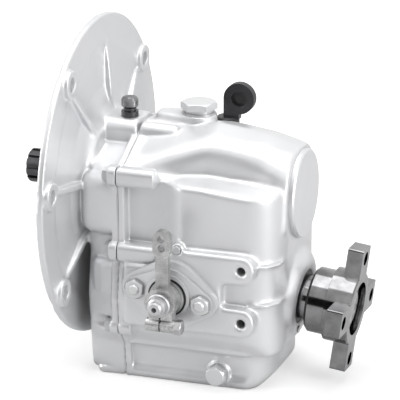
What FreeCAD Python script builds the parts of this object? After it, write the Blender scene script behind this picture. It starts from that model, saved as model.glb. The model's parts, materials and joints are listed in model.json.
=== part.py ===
import FreeCAD, Part
import math
import os
from FreeCAD import Vector as V

# Compact marine gearbox with a dished engine plate, an inclined output shaft and a side shift lever.
# Origin: centre of the engine plate's front face on the input axis. +X aft, -Y lever side, +Z up.

os.makedirs("parts", exist_ok=True)

# Shaft layout
shaft_tilt = 7.0            # output shaft runs down aft by this angle, degrees
flange_x = 204.2            # aft face of the output flange on its own axis
flange_drop = 85.2          # that point's depth under the input axis
shift_x = 82.5              # shift shaft and clutch centre
shift_z = -64.0
run_gap = 0.05              # radial running clearance of shafts and gears
fit_gap = 0.02              # radial clearance of bearings and plugs in their seats

# Engine plate
plate_r = 120.0
plate_t = 5.0
plate_pcd = 216.0
dome_foot_r = 66.0          # shallow cone between the plate and the case
dome_crown_r = 52.0
plate_hole_r = 5.25
plate_boss_r = 10.5
plate_boss_h = 3.6
plate_phase = 7.2           # first hole above the lever side, degrees
web_r = 98.0
rib_t = 5.0

# Case castings
case_wall = 7.0
case_half = 59.0            # side wall
case_neck = case_half - 8.0  # side wall just behind the joint flange
neck_end_x = 72.0
corner_ribs = (-41.0, -70.5)  # heights of the short ribs round the aft corner
sump_bead_z = -112.5        # rib that runs round the top of the sump
ledge_z = 14.5              # outer corner of the ledge beside the upper tunnel
pad_half = case_half + 7.0  # machined shift pad on the lever side
part_x = 39.5               # joint face between the two castings
joint_t = 4.6               # thickness of each joint flange
gasket_t = 0.5
rear_x = 160.0
stern_x = rear_x - 9.5      # aft face of the sump
stern_r = 34.0
front_x = 12.0
sump_z = -142.0
sump_half = 46.0
tunnel_half = 32.0
tunnel_top = 48.0
crown_z = 45.5              # top of the joint flange
crown_far = (26.0, 42.0)    # its second corner, beyond the shafts
pinion_room_r = 27.5
lug_r = 6.4
joint_bolt_r = 3.0

# Input shaft line
input_r = 12.5
spline_r = 12.8
spline_teeth = 10
spline_end = -52.3
spline_len = 28.0
spline_relief = 2.0         # groove that ends the slots between the teeth
spline_root_r = 10.6
spline_land = 5.15          # width of a tooth at its tip
input_brg = (12.5, 26.0, 15.0)          # bore radius, outer radius, width
input_brg_x = 14.0
input_rear_brg = (10.0, 23.5, 14.0)
input_rear_x = 139.0
carrier_r = 34.0            # bolted ring that holds the input seal
carrier_x = -9.0
carrier_seat_x = 1.5
carrier_lip_r = 16.5
carrier_spigot_r = 18.0
input_seal_r = 21.0
input_seal_t = 7.0
carrier_screw_pitch = 27.5
carrier_screw_r = 2.5
cap_r = 33.0
cap_t = 4.0

# Output shaft line, places along the shaft from the clutch centre
output_r = 15.0
output_front_brg = (15.0, 31.0, 16.0)
output_front_u = -64.0
output_rear_brg = (15.0, 36.0, 19.0)
output_rear_u = 50.0
seal_r = 20.5
seal_u = 73.0
seal_t = 7.5
neck_r = 16.8               # flange's neck under the seal
boss_r = 41.5
boss_face_r = 28.0
boss_end_u = 82.0
boss_plug_r = 2.6
coupling_bolt_r = 5.1
coupling_pcd = 78.0
coupling_count = 4
coupling_phase = 4.0
coupling_out_r = 47.0
coupling_lug_w = 20.5
coupling_lug_t = 11.8
coupling_bore_r = 14.0
coupling_recess_r = 20.0
coupling_recess = 13.6
hub_r = 24.5
hub_u = 88.0
hub_disc_r = 27.5
coupling_nut_af = 30.0

# Gears: teeth and face widths
ahead_pinion_teeth = 21
ahead_gear_teeth = 45
astern_pinion_teeth = 18
idler_teeth = 17
idler_room_r = 22.4         # corners of the twelve-sided room round the idler
astern_gear_teeth = 38
astern_module = 2.0
gear_face = 18.0
gear_u = 35.0               # middle of each gear from the clutch centre
backlash = 0.24
pressure_angle = 20.0

# Clutch
drum_r = 41.0
drum_wall = 3.0
drum_web = 2.5
hub_spline_r = 23.0
disc_t = 1.7
disc_gap = 0.35
disc_pairs = 3
sleeve_r = 36.0
sleeve_half = 7.5
sleeve_groove_r = 30.5
pin_r = 3.0
pin_throw = 5.0

# Shift shaft, cover and lever
cover_t = 5.0
cover_tier = 3.0
cover_boss_r = 17.0
cover_boss_end = pad_half + 10.0
cover_mid_r = 26.0
cover_end_r = 11.0
stud_reach = 25.2
stud_tilt = 8.0
stud_r = 4.0
stud_nut_h = 5.5
shift_r = 8.9
shift_seal_r = 14.6
shift_collar_r = 13.2
shift_inner_y = 42.5        # inner end of the shift shaft
shift_neck_r = 7.2
shift_tip_r = 5.4
shift_tip_y = pad_half + 38.0
lever_front = pad_half + 26.0
lever_depth = 14.0
lever_ring_r = 11.6
lever_arm_w = 9.8
lever_arm_t = 5.0
lever_arm_set = 5.0         # arm's front face behind the ring's
lever_hole_r = 2.75
lever_hole_far = 48.2
lever_hole_pitch = 7.0
lever_eye_w = 13.0
lever_eye_ends = (33.1, 54.0)
clamp_slit = 1.4
clamp_bolt_r = 3.0
clamp_barrel_r = 4.9
clamp_barrel_z = -17.0
clamp_half = 10.9
clamp_neck_w = 18.0

# Lever bracket holes on the pad
ear_x = 134.5
ear_top_z = -42.5
ear_pitch = 40.0
ear_r = 11.0
ear_nose = 10.0
ear_hole_r = 3.4
ear_hole_depth = 16.0

# Plugs, breather and dipstick
filler_x = 78.3
filler_y = 8.0
filler_top = 50.7
filler_pad_r = 13.5
filler_af = 24.0
filler_bore_r = 9.0
side_plug_r = 2.3
drain_x = 112.0
drain_z = -130.0
drain_af = 13.5
drain_bore_r = 5.5
washer_t = 1.5
breather_x = 29.0
breather_y = -5.0
breather_seat = 47.5
breather_stem = 5.8
breather_stem_r = 3.9
breather_cap_r = 6.4
dip_x = 88.0
dip_y = 47.5
dip_seat = 33.0
dip_r = 11.9

pieces = {}


def put(name, *solids):
    """Keep one named piece, made of one or more separate solids."""
    pieces[name] = solids[0] if len(solids) == 1 else Part.makeCompound(list(solids))


def cyl(start, direction, radius, length):
    return Part.makeCylinder(radius, length, start, direction)


def tube(start, direction, outer, inner, length):
    return cyl(start, direction, outer, length).cut(cyl(start, direction, inner, length))


def fuse(*solids):
    joined = solids[0]
    for solid in solids[1:]:
        joined = joined.fuse(solid)
    return joined.removeSplitter()


def cut(body, *tools):
    for tool in tools:
        body = body.cut(tool)
    return body


def loop_wire(points, place):
    """Closed wire through (a, b, corner radius) points; place turns (a, b) into a 3D point."""
    count = len(points)
    starts, ends, middles = [], [], []
    for i in range(count):
        a, b, r = points[i]
        pa, pb = points[i - 1][:2]
        na, nb = points[(i + 1) % count][:2]
        if r <= 0:
            starts.append((a, b))
            ends.append((a, b))
            middles.append(None)
            continue
        back = math.hypot(pa - a, pb - b)
        ahead = math.hypot(na - a, nb - b)
        ua, ub = (pa - a) / back, (pb - b) / back
        va, vb = (na - a) / ahead, (nb - b) / ahead
        half = math.acos(max(-1.0, min(1.0, ua * va + ub * vb))) / 2
        trim = r / math.tan(half)
        reach = r / math.sin(half)
        ma, mb = ua + va, ub + vb
        size = math.hypot(ma, mb)
        ma, mb = ma / size, mb / size
        starts.append((a + ua * trim, b + ub * trim))
        ends.append((a + va * trim, b + vb * trim))
        middles.append((a + ma * (reach - r), b + mb * (reach - r)))
    edges = []
    for i in range(count):
        if middles[i] is not None:
            arc = Part.Arc(place(*starts[i]), place(*middles[i]), place(*ends[i]))
            edges.append(arc.toShape())
        nxt = (i + 1) % count
        p, q = place(*ends[i]), place(*starts[nxt])
        if (q - p).Length > 1e-6:
            edges.append(Part.LineSegment(p, q).toShape())
    return Part.Wire(edges)


def prism(points, place, sweep):
    return Part.Face(loop_wire(points, place)).extrude(sweep)


def on_x(x):
    return lambda y, z: V(x, y, z)


def on_y(y):
    return lambda x, z: V(x, y, z)


def on_z(z):
    return lambda x, y: V(x, y, z)


def mirrored(half):
    """Full symmetric outline from its right half, listed from the top down."""
    left = [(-a, b, r) for a, b, r in reversed(half) if abs(a) > 1e-9]
    return list(half) + left


def loft_x(stations):
    """Ruled skin through (x, outline) stations with equal corner counts."""
    wires = [loop_wire(outline, on_x(x)) for x, outline in stations]
    return Part.makeLoft(wires, True, True)


def turned(profile, origin, direction):
    """Solid of revolution: profile of (along, radius) points, turned about an axis."""
    along = V(direction).normalize()
    side = square_to(along)
    corners = [origin + along * a + side * r for a, r in profile]
    face = Part.Face(Part.makePolygon(corners + [corners[0]]))
    return face.revolve(origin, along, 360)


def square_to(along):
    """A unit vector square to a given one."""
    side = along.cross(V(0, 1, 0))
    if side.Length < 0.5:
        side = along.cross(V(1, 0, 0))
    return side.normalize()


def hexagon(centre, direction, across, height, turn=0.0):
    along = V(direction).normalize()
    side = square_to(along)
    up = along.cross(side)
    reach = across / math.sqrt(3)
    corners = []
    for k in range(6):
        a = math.radians(60 * k + turn)
        corners.append(centre + side * (reach * math.cos(a)) + up * (reach * math.sin(a)))
    return Part.Face(Part.makePolygon(corners + [corners[0]])).extrude(along * height)


def hex_head(centre, direction, across, height, turn=0.0):
    """Hexagon with the usual turned chamfer on its outer face."""
    reach = across / math.sqrt(3)
    cone = turned([(0, 0), (0, reach * 1.02), (height * 0.78, reach * 1.02),
                   (height, across / 2 * 0.96), (height, 0)], centre, direction)
    return hexagon(centre, direction, across, height, turn).common(cone)


# Output shaft frame
tilt = math.radians(shaft_tilt)
OUT = V(math.cos(tilt), 0, -math.sin(tilt))
flange_centre = V(flange_x, 0, -flange_drop)
clutch_centre = flange_centre - OUT * ((flange_x - shift_x) / math.cos(tilt))
flange_u = (flange_centre - clutch_centre).Length
APEX = V(flange_x - flange_drop / math.tan(tilt), 0, 0)
X = V(1, 0, 0)
SIDE = V(0, -1, 0)
UP = V(0, 0, 1)


def out_at(u):
    return clutch_centre + OUT * u


def out_cyl(u, radius, length):
    return cyl(out_at(u), OUT, radius, length)


def out_turned(profile):
    return turned(profile, clutch_centre, OUT)


def flange_frame(angle):
    """Radial and sideways directions square to the output shaft, angle from straight up."""
    a = math.radians(angle)
    up = V(math.sin(tilt), 0, math.cos(tilt))
    across = V(0, 1, 0)
    return up * math.cos(a) + across * math.sin(a), across * math.cos(a) - up * math.sin(a)


def gear_cone(teeth, module, pitch_length):
    """Half angle of a gear's pitch cone, all cones meeting where the two shaft lines cross."""
    return math.asin(teeth * module / (2 * pitch_length))


def involute(angle):
    return math.tan(angle) - angle


def cone_gear(teeth, module, pitch_length, axis, face, first_tooth):
    """Tapered gear body with every edge running to APEX; first_tooth is a direction from the axis."""
    cone = gear_cone(teeth, module, pitch_length)
    middle = pitch_length * math.cos(cone)
    pitch_r = pitch_length * math.sin(cone)
    press = math.radians(pressure_angle)
    base_r = pitch_r * math.cos(press)
    tooth_half = math.pi / (2 * teeth) - backlash / (4 * pitch_r)

    def half_angle(r):
        return tooth_half + involute(press) - involute(math.acos(min(1.0, base_r / r)))

    root_r, tip_r = pitch_r - 1.25 * module, pitch_r + module
    rise = [(root_r, half_angle(max(root_r, base_r))), (pitch_r, half_angle(pitch_r)),
            (tip_r, half_angle(tip_r))]
    side = (first_tooth - axis * axis.dot(first_tooth)).normalize()
    up = axis.cross(side)
    rim = []
    for k in range(teeth):
        centre = 2 * math.pi * k / teeth
        rim += [(r, centre - a) for r, a in rise] + [(r, centre + a) for r, a in reversed(rise)]
    ends = []
    for along in (middle - face / 2, middle + face / 2):
        scale = along / middle
        ends.append([APEX + axis * along + (side * math.cos(a) + up * math.sin(a)) * (r * scale)
                     for r, a in rim])
    near, far = ends
    faces = [Part.Face(Part.makePolygon(near + [near[0]])), Part.Face(Part.makePolygon(far + [far[0]]))]
    for i in range(len(rim)):
        j = (i + 1) % len(rim)
        faces.append(Part.Face(Part.makePolygon([near[i], near[j], far[j], far[i], near[i]])))
    return Part.Solid(Part.Shell(faces))


def toward(axis, other):
    """Direction from one shaft line to another, square to the first."""
    return (other - axis * axis.dot(other)).normalize()


def turn_about(axis, direction, angle):
    return FreeCAD.Rotation(axis, math.degrees(angle)).multVec(direction)


# Gear train: both pairs are conical, with their pitch cones meeting at APEX
astern_pitch = (out_at(gear_u) - APEX).Length
for _ in range(6):
    astern_pitch = (out_at(gear_u) - APEX).Length / math.cos(
        gear_cone(astern_gear_teeth, astern_module, astern_pitch))
ahead_ratio = ahead_gear_teeth / ahead_pinion_teeth
ahead_pinion_cone = math.atan(math.sin(tilt) / (ahead_ratio + math.cos(tilt)))
ahead_pitch = (out_at(-gear_u) - APEX).Length / math.cos(tilt - ahead_pinion_cone)
ahead_module = 2 * ahead_pitch * math.sin(ahead_pinion_cone) / ahead_pinion_teeth
side_a = (gear_cone(astern_pinion_teeth, astern_module, astern_pitch)
          + gear_cone(idler_teeth, astern_module, astern_pitch))
side_b = (gear_cone(astern_gear_teeth, astern_module, astern_pitch)
          + gear_cone(idler_teeth, astern_module, astern_pitch))
corner = math.acos((math.cos(side_b) - math.cos(side_a) * math.cos(tilt))
                   / (math.sin(side_a) * math.sin(tilt)))
IDLE = V(math.cos(side_a), math.sin(side_a) * math.sin(corner), -math.sin(side_a) * math.cos(corner))
idler_pitch_x = astern_pitch * math.cos(gear_cone(idler_teeth, astern_module, astern_pitch))
half_pitch_idler = math.pi / idler_teeth

ahead_pinion_x = APEX.x + ahead_pitch * math.cos(ahead_pinion_cone)
astern_pinion_x = APEX.x + astern_pitch * math.cos(
    gear_cone(astern_pinion_teeth, astern_module, astern_pitch))
pinion_a = cone_gear(ahead_pinion_teeth, ahead_module, ahead_pitch, X, gear_face + 2, toward(X, OUT))
pinion_b = cone_gear(astern_pinion_teeth, astern_module, astern_pitch, X, gear_face + 2, toward(X, IDLE))
gear_a = cone_gear(ahead_gear_teeth, ahead_module, ahead_pitch, OUT, gear_face,
                   turn_about(OUT, toward(OUT, X), math.pi / ahead_gear_teeth))
idler = cone_gear(idler_teeth, astern_module, astern_pitch, IDLE, gear_face,
                  turn_about(IDLE, toward(IDLE, X), half_pitch_idler))
# The idler's nearest tooth misses the line to the astern gear by this angle
to_input, to_output = toward(IDLE, X), toward(IDLE, OUT)
spread = math.atan2(IDLE.dot(to_input.cross(to_output)), to_input.dot(to_output))
miss = (half_pitch_idler - spread) % (2 * half_pitch_idler)
gear_b = cone_gear(astern_gear_teeth, astern_module, astern_pitch, OUT, gear_face,
                   turn_about(OUT, toward(OUT, IDLE),
                              (math.pi - miss * idler_teeth) / astern_gear_teeth))


# Engine plate and front casting
def plate_point(angle, radius, x):
    a = math.radians(angle)
    return V(x, -radius * math.cos(a), radius * math.sin(a))


plate_angles = [plate_phase + 45 * k for k in range(8)]
bolt_angles = [a for k, a in enumerate(plate_angles) if k not in (2, 6)]
carrier_angles = [45.0, 135.0, 225.0, 315.0]

# Outline of the joint flange, right half from the crown down
joint_half = [(case_half + 2.5, 17.5, 6), (case_half + 1.0, -48.0, 10), (case_half + 5.0, -76.0, 8),
              (case_half + 3.0, -98.0, 6), (sump_half + 4.0, -114.0, 6), (sump_half, sump_z, 6)]
joint_outline = [(0, crown_z, 10), crown_far + (8,)] + mirrored(joint_half)
lug_spots = [(-10.0, 35.0)]
for hand in (1, -1):
    lug_spots += [(hand * (case_half - 0.5), 18.5), (hand * (case_half - 1.3), -39.0),
                  (hand * (case_half - 2.0), -98.0), (hand * (sump_half - 12.0), sump_z + 8.0)]


def lug_reach(z):
    """Length of a screw lug behind the joint flange: long ones above, short ones at the sump."""
    return 25.0 if z > -60.0 else 5.0


def lug_bar(x, y, z, length):
    """Screw lug along the case, square with round corners at the sides and round elsewhere."""
    if z > 30.0 or z < -60.0:
        return cyl(V(x, y, z), X, lug_r, length)
    half = lug_r + 0.7
    corners = [(y + half, z + half, 4.5), (y + half, z - half, 4.5), (y - half, z - half, 4.5),
               (y - half, z + half, 4.5)]
    return prism(corners, on_x(x), X * length)


def front_outline(grow, corner):
    """Outline of the front casting under the input line; corner is the radius at the sump."""
    side = sump_half + grow
    return mirrored([(0, -20.0, 0), (side, -20.0, 6), (side + 2.0, -48.0, 6), (side + 7.0, -76.0, 8),
                     (sump_half + 4.0 + grow * 0.8, -104.0, 8), (sump_half + 2.5, -113.0, 5),
                     (sump_half, sump_z, corner)])


def make_front_housing():
    rim = turned([(0, 0), (0, plate_r), (plate_t - 0.8, plate_r), (plate_t, plate_r - 0.8),
                  (plate_t, web_r), (plate_t - 1.5, web_r - 6), (plate_t, dome_foot_r),
                  (front_x - 3, dome_crown_r), (front_x + 2, dome_crown_r - 6), (front_x + 2, 0)],
                 V(0, 0, 0), X)
    hollow = turned([(-1, 0), (-1, 88.0), (0, 88.0), (carrier_seat_x, 84.0), (carrier_seat_x, 0)],
                    V(0, 0, 0), X)
    body = rim.cut(hollow)
    for angle in plate_angles:
        start = plate_point(angle, plate_pcd / 2 - 8, 0)
        inner = plate_point(angle, 44.0, 0)
        side = X.cross(start).normalize() * (rib_t / 2)
        crest_out, crest_in = plate_t + 0.6, front_x + 1
        corners = [start - side + X, inner - side + X, inner - side + X * crest_in,
                   start - side + X * crest_out]
        body = body.fuse(Part.Face(Part.makePolygon(corners + [corners[0]])).extrude(side * 2))
    for angle in bolt_angles:
        centre = plate_point(angle, plate_pcd / 2, 1.0)
        body = body.fuse(cyl(centre, X, plate_boss_r, plate_t + plate_boss_h - 1.0))
    joint_front = part_x - gasket_t / 2 - joint_t
    lobe = turned([(front_x - 4, 0), (front_x - 4, 44.0), (front_x - 1, 50.0), (front_x + 5, 54.0),
                   (joint_front + 1, 55.5), (joint_front + 1, 0)], V(0, 0, -6.0), X)
    roof = mirrored([(0, 38.0, 0), (case_half, 15.0, 10), (case_half, -80.0, 0)])
    lobe = lobe.common(prism(roof, on_x(0), V(60.0, 0, 0)))
    shoulders = loft_x([(front_x + 1, mirrored([(0, 28.0, 0), (40.0, 10.0, 10), (46.0, -30.0, 8)])),
                        (joint_front + 1, mirrored([(0, 39.5, 0), (56.0, 16.5, 8), (56.0, -30.0, 8)]))])
    lower = loft_x([(front_x, front_outline(0, 18)), (joint_front + 1, front_outline(9.0, 8))])
    foot = prism([(front_x + 4, -38.0, 0), (front_x + 5, -sump_half, 3), (joint_front + 2, -sump_half, 0),
                  (joint_front + 2, sump_half, 0), (front_x + 5, sump_half, 3), (front_x + 4, 38.0, 0)],
                 on_z(sump_z), V(0, 0, 5.0))
    joint = prism(joint_outline, on_x(joint_front), V(joint_t, 0, 0))
    block = prism([(-18.0, 20.0, 0), (-18.0, breather_seat, 9), (17.0, breather_seat, 6), (17.0, 20.0, 0)],
                  on_x(front_x), V(joint_front + 4 - front_x, 0, 0))
    body = fuse(body, lobe, shoulders, lower, foot, joint, block)
    for y, z in lug_spots:
        body = body.fuse(lug_bar(joint_front - 2.0, y, z, joint_t + 2.0))
    body = body.fuse(cyl(V(carrier_seat_x, 0, 0), X, carrier_r, input_brg_x - carrier_seat_x + 2.0))
    return body.removeSplitter()


def inner_space():
    """Room for the gears, clutch and oil, through both castings."""
    gears = out_cyl(-48.0, 52.0, 96.0)
    pinions = cyl(V(input_brg_x + input_brg[2], 0, 0), X, pinion_room_r, 131.0 - input_brg_x - input_brg[2])
    side = prism([(-36.0, -20.0, 6), (44.0, -8.0, 10), (44.0, -60.0, 6), (-36.0, -60.0, 6)],
                 on_x(32.0), V(100.0, 0, 0))
    oil = prism([(-38.0, -80.0, 0), (38.0, -80.0, 0), (36.0, sump_z + case_wall, 6),
                 (-36.0, sump_z + case_wall, 6)], on_x(24.0), V(104.0, 0, 0))
    corners = []
    for k in range(12):
        radial = turn_about(IDLE, toward(IDLE, X), math.radians(30 * k + 15))
        corners.append(APEX + IDLE * (idler_pitch_x - gear_face / 2 - 4) + radial * idler_room_r)
    idler_room = Part.Face(Part.makePolygon(corners + [corners[0]])).extrude(IDLE * (gear_face + 5.5))
    return gears.fuse(pinions).fuse(side).fuse(oil).fuse(idler_room)


hollow_case = inner_space()
front = make_front_housing()
back_half = Part.makeBox(400, 400, 400, V(part_x - gasket_t / 2, -200, -200))
front = cut(front, back_half, hollow_case)
front = cut(front, cyl(V(input_brg_x, 0, 0), X, input_brg[1] + fit_gap, input_brg[2] + 1),
            cyl(V(0, 0, 0), X, carrier_lip_r, 40.0),
            cyl(V(0, 0, 0), X, carrier_spigot_r + fit_gap, carrier_seat_x + 2.5),
            out_cyl(output_front_u, output_front_brg[1] + fit_gap, output_front_brg[2] + 4),
            out_cyl(output_front_u - 3.0, output_r + 4.0, 4.0),
            cyl(V(breather_x, breather_y, breather_seat - breather_stem), UP,
                breather_stem_r + fit_gap, 20.0))
for angle in bolt_angles:
    front = front.cut(cyl(plate_point(angle, plate_pcd / 2, -2), X, plate_hole_r, 20))
for angle in carrier_angles:
    front = front.cut(cyl(plate_point(angle, carrier_screw_pitch, 0), X, carrier_screw_r + fit_gap, 11.5))
for y, z in lug_spots:
    front = front.cut(cyl(V(10.0, y, z), X, joint_bolt_r + 0.25, 60.0))
    front = front.cut(cyl(V(part_x - gasket_t / 2 - joint_t - 2.0 - 20.0, y, z), X, 6.2, 20.0))
put("front_housing", front)


def make_rear_housing():
    start = part_x + gasket_t / 2
    joint = prism(joint_outline, on_x(start), V(joint_t, 0, 0))
    across = loft_x([(start, case_section(ledge_z + 1.0, 5.0)), (100.0, case_section(ledge_z, 3.5)),
                     (rear_x, case_section(ledge_z - 7.5, 13.0))])
    side_view = prism([(start, 60.0, 0), (rear_x - 14.0, 60.0, 0), (rear_x - 1.0, 0.0, 12),
                       (rear_x + 1.0, -10.0, 0), (rear_x - 2.0, -60.0, 0), (rear_x - 0.5, -105.0, 8),
                       (rear_x - 5.0, -116.0, 8), (stern_x + 2.0, sump_z + 12.0, 8),
                       (rear_x - 21.0, sump_z, 8), (start, sump_z, 0)],
                      on_y(-90.0), V(0, 180.0, 0))
    half = [(start, case_neck, 0), (neck_end_x, case_neck, 14), (neck_end_x + 14.0, case_half, 12),
            (rear_x - 10.0, case_half - 1.0, 26), (rear_x + 2.0, 24.0, 0)]
    plan = prism([(x, -y, r) for x, y, r in half] + [(x, y, r) for x, y, r in reversed(half)],
                 on_z(-200.0), V(0, 0, 300.0))
    lower = across.common(side_view).common(plan).cut(around_stern())
    below = Part.makeBox(60.0, 2 * case_half, 150.0, V(start, -case_half, -200.0))
    skirt = across.common(side_view).common(below)
    tunnel = loft_x([(start, tunnel_outline(50.0, 20.5, crown_z - 0.5, 7)),
                     (70.0, tunnel_outline(41.0, 32.0, tunnel_top - 1.5, 9)),
                     (98.0, tunnel_outline(tunnel_half, tunnel_top - 7.0, tunnel_top, 8)),
                     (136.0, tunnel_outline(tunnel_half - 0.5, tunnel_top - 11.0, tunnel_top - 5.0, 15)),
                     (rear_x, tunnel_outline(cap_r + 2.0, cap_r + 1.0, cap_r + 1.5, 29))])
    disc = cyl(V(rear_x - 30, 0, 0), X, cap_r + 2.5, 30)
    boss = out_turned([(38.0, 0), (38.0, boss_r), (boss_end_u - 18.0, boss_r),
                       (boss_end_u - 10.0, boss_r - 3.0), (boss_end_u - 4.0, boss_face_r + 5.5),
                       (boss_end_u, boss_face_r), (boss_end_u, 0)])
    web = loft_x([(138.0, mirrored([(0, 20.0, 0), (42.0, 10.0, 6), (50.0, -80.0, 10), (0, -112.0, 0)])),
                  (rear_x - 1, mirrored([(0, 10.0, 0), (32.0, 0.0, 6), (34.0, -80.0, 10),
                                         (0, -104.0, 0)]))])
    body = fuse(lower, tunnel, disc, web, boss, skirt, joint)
    pad = prism(pad_outline(), on_y(-pad_half), V(0, pad_half - 40.0, 0))
    body = fuse(body, pad)
    for y, z in lug_spots:
        body = body.fuse(lug_bar(start, y, z, joint_t + lug_reach(z)))
    return body


def around_stern():
    """What is trimmed from the case below its bead, so that the sump ends in a round stern."""
    low = sump_z - 1.0
    side = sump_half + 4.0
    kept = prism([(part_x, -side, 0), (stern_x, -side, stern_r), (stern_x, side, stern_r),
                  (part_x, side, 0)], on_z(low), UP * (sump_bead_z - low))
    block = Part.makeBox(60.0, 2 * side + 20.0, sump_bead_z - low, V(stern_x - 45.0, -side - 10.0, low))
    return block.cut(kept)


def case_section(edge, rise):
    """Section of the gear case; edge is the height of the ledge's outer corner, and rise its slope."""
    side = case_half + 1.0
    return mirrored([(0, edge + rise, 0), (side, edge, 5), (side, -97.0, 10), (sump_half + 4.0, -111.0, 7),
                     (sump_half, -117.0, 4), (sump_half - 2.0, -131.0, 3), (sump_half + 1.0, -137.0, 2),
                     (sump_half, sump_z, 0)])


def tunnel_outline(half, shoulder, top, corner):
    return mirrored([(0, top, 0), (half, shoulder, corner), (half + 3.0, -20.0, 0)])


def pad_outline():
    """Outline of the shift pad with its two bracket ears."""
    low_z = ear_top_z - ear_pitch
    start = part_x + gasket_t / 2 + joint_t
    tip = ear_x + ear_nose
    inner = ear_x - 15.0
    r = ear_r - 1.0
    return [(start, -46.0, 2), (inner - 45.5, -46.0, 3), (inner - 37.5, ear_top_z + ear_r, 6),
            (tip, ear_top_z + ear_r, r), (tip, ear_top_z - ear_r, r), (inner, ear_top_z - ear_r, 3),
            (inner, low_z + ear_r, 3), (tip, low_z + ear_r, r), (tip, low_z - ear_r, r),
            (start, low_z - ear_r, 2)]


def filler_pad():
    low = tunnel_top - 14.0
    height = filler_top - low
    near, far = filler_y - filler_pad_r, filler_y + filler_pad_r
    round_end = cyl(V(filler_x, filler_y, low), UP, filler_pad_r, height)
    tongue = prism([(part_x + 6.0, near + 7.0, 4), (filler_x, near, 0), (filler_x, far, 0),
                    (part_x + 6.0, far - 4.0, 4)], on_z(low), UP * height)
    return fuse(round_end, tongue)


def bearing(start, direction, sizes, balls=9):
    """Ball bearing as outer ring, inner ring and balls."""
    bore, outer, width = sizes
    band = (outer - bore) * 0.3
    middle = (outer + bore) / 2
    outer_ring = tube(start, direction, outer, outer - band, width)
    inner_ring = tube(start, direction, bore + band, bore + fit_gap, width)
    ball_r = (outer - bore) / 2 - band - 0.02
    centre = start + direction * (width / 2)
    side = square_to(direction)
    up = direction.cross(side)
    spheres = []
    for k in range(balls):
        a = 2 * math.pi * k / balls
        spot = centre + side * (middle * math.cos(a)) + up * (middle * math.sin(a))
        spheres.append(Part.makeSphere(ball_r, spot))
    return [outer_ring, inner_ring] + spheres


# Rear casting with its seats
rear = make_rear_housing().fuse(filler_pad())
dip_boss = cyl(V(dip_x, dip_y, -10.0), UP, 9.0, dip_seat + 10.0)
drain_boss = cyl(V(drain_x, -sump_half - 1.5, drain_z), V(0, 1, 0), drain_bore_r + 3.2, 20.0)
side_plug_spot = V(86.2, -pad_half + 1.5, -31.0)
side_plug_boss = cyl(side_plug_spot, V(0, 1, 0), side_plug_r + 2.1, 14.0)
rear = rear.fuse(dip_boss).fuse(drain_boss).fuse(side_plug_boss)
for z in corner_ribs:
    rear = rear.fuse(prism([(rear_x - 22.0, -case_half, 0), (rear_x - 9.0, 2.5 - case_half, 6),
                            (rear_x - 1.5, 15.0 - case_half, 8), (rear_x, -20.0, 0),
                            (rear_x - 22.0, -20.0, 0)], on_z(z - 1.2), V(0, 0, 2.4)))
bead_half = sump_half + 5.6
bead = [(part_x + 6.0, bead_half, 0), (rear_x - 12.0, bead_half, 22), (rear_x - 5.0, 20.0, 0)]
rear = rear.fuse(prism([(x, -y, r) for x, y, r in bead] + [(x, y, r) for x, y, r in reversed(bead)],
                       on_z(sump_bead_z - 1.2), V(0, 0, 2.4)))
front_half = Part.makeBox(400, 400, 400, V(part_x + gasket_t / 2 - 400, -200, -200))
rear = cut(rear, front_half, hollow_case)
idler_boss = cyl(APEX + IDLE * (idler_pitch_x + gear_face / 2 + 1.5), IDLE, 15.0, 24.0)
idler_boss = idler_boss.common(Part.makeBox(60, 100, 100, V(100, 0, -80)))
rear = rear.fuse(idler_boss)


def side_spot(reach, dx=0.0, dz=0.0):
    """Point on the lever side, reach mm out from the middle plane."""
    return V(shift_x + dx, -reach, shift_z + dz)


def stud_spot(sign, reach):
    a = math.radians(stud_tilt)
    return side_spot(reach, sign * stud_reach * math.cos(a), -sign * stud_reach * math.sin(a))


boss_plug_spot = out_at(boss_end_u) + flange_frame(195.0)[0] * ((seal_r + boss_face_r) / 2 + 0.6)
rear = cut(rear,
           cyl(V(128.0, 0, 0), X, input_rear_brg[1] + fit_gap, 40.0),
           out_cyl(output_rear_u - 4, output_rear_brg[1] + fit_gap, output_rear_brg[2] + 4),
           out_cyl(40.0, seal_r + fit_gap, 60.0),
           out_turned([(boss_end_u - 1.0, 0), (boss_end_u - 1.0, seal_r + fit_gap),
                       (boss_end_u + 0.2, seal_r + 1.4), (boss_end_u + 0.2, 0)]),
           cyl(side_spot(44.0), SIDE, shift_r + 2.0, 60.0),
           cyl(V(filler_x, filler_y, 20.0), UP, filler_bore_r, 40.0),
           cyl(V(dip_x, dip_y, -104.0), UP, 5.0, 160.0),
           cyl(V(drain_x, -70.0, drain_z), V(0, 1, 0), drain_bore_r, 36.0),
           cyl(side_plug_spot, V(0, 1, 0), side_plug_r, 9.0),
           cyl(side_plug_spot, SIDE, side_plug_r + 1.7, 12.0),
           cyl(boss_plug_spot, OUT * -1, boss_plug_r, 7.0),
           cyl(V(dip_x, dip_y, dip_seat), UP, 9.4, 30.0),
           cyl(APEX + IDLE * (idler_pitch_x + gear_face / 2), IDLE, 8.0 + fit_gap, 24.0))
for z in (ear_top_z, ear_top_z - ear_pitch):
    rear = rear.cut(cyl(V(ear_x, -pad_half - 1, z), V(0, 1, 0), ear_hole_r, ear_hole_depth + 1))
for sign in (-1, 1):
    rear = rear.cut(cyl(stud_spot(sign, pad_half - 9.0), SIDE, stud_r + fit_gap, 12.0))
for y, z in lug_spots:
    rear = rear.cut(cyl(V(part_x, y, z), X, joint_bolt_r + fit_gap, joint_t + lug_reach(z) - 2.0))
put("rear_housing", rear)

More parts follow.
